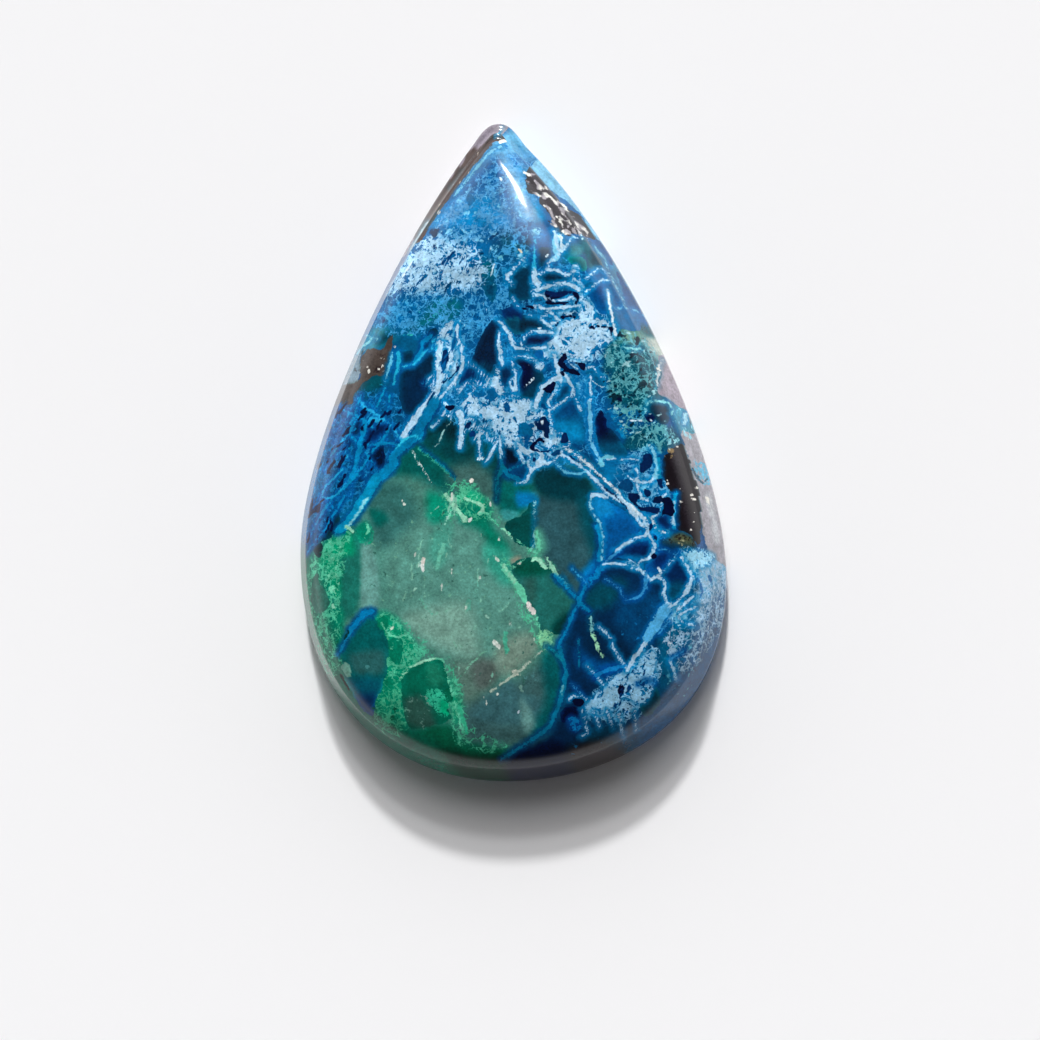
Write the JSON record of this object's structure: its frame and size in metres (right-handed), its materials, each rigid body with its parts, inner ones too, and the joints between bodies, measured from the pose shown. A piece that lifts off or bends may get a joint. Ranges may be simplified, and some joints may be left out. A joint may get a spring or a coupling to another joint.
{
  "type": "teardrop cabochon",
  "caption": "Polished teardrop shattuckite cabochon with a flat back, leaning side wall and gently crowned top.",
  "frame": {"origin": "on the flat back's plane, under the middle of the outline's box", "axes": "+Y towards the pointed tip, +Z out of the crowned top, +X to the right when the top is seen with the tip up"},
  "size_m": [0.026, 0.04, 0.0058],
  "materials": {
    "polished_stone": "high polish on the top and side, honed flat back; blue, pale blue, green and brown-black pattern"
  },
  "bodies": {
    "root": {"shattuckite_stone": "polished_stone"}
  },
  "joints": []
}
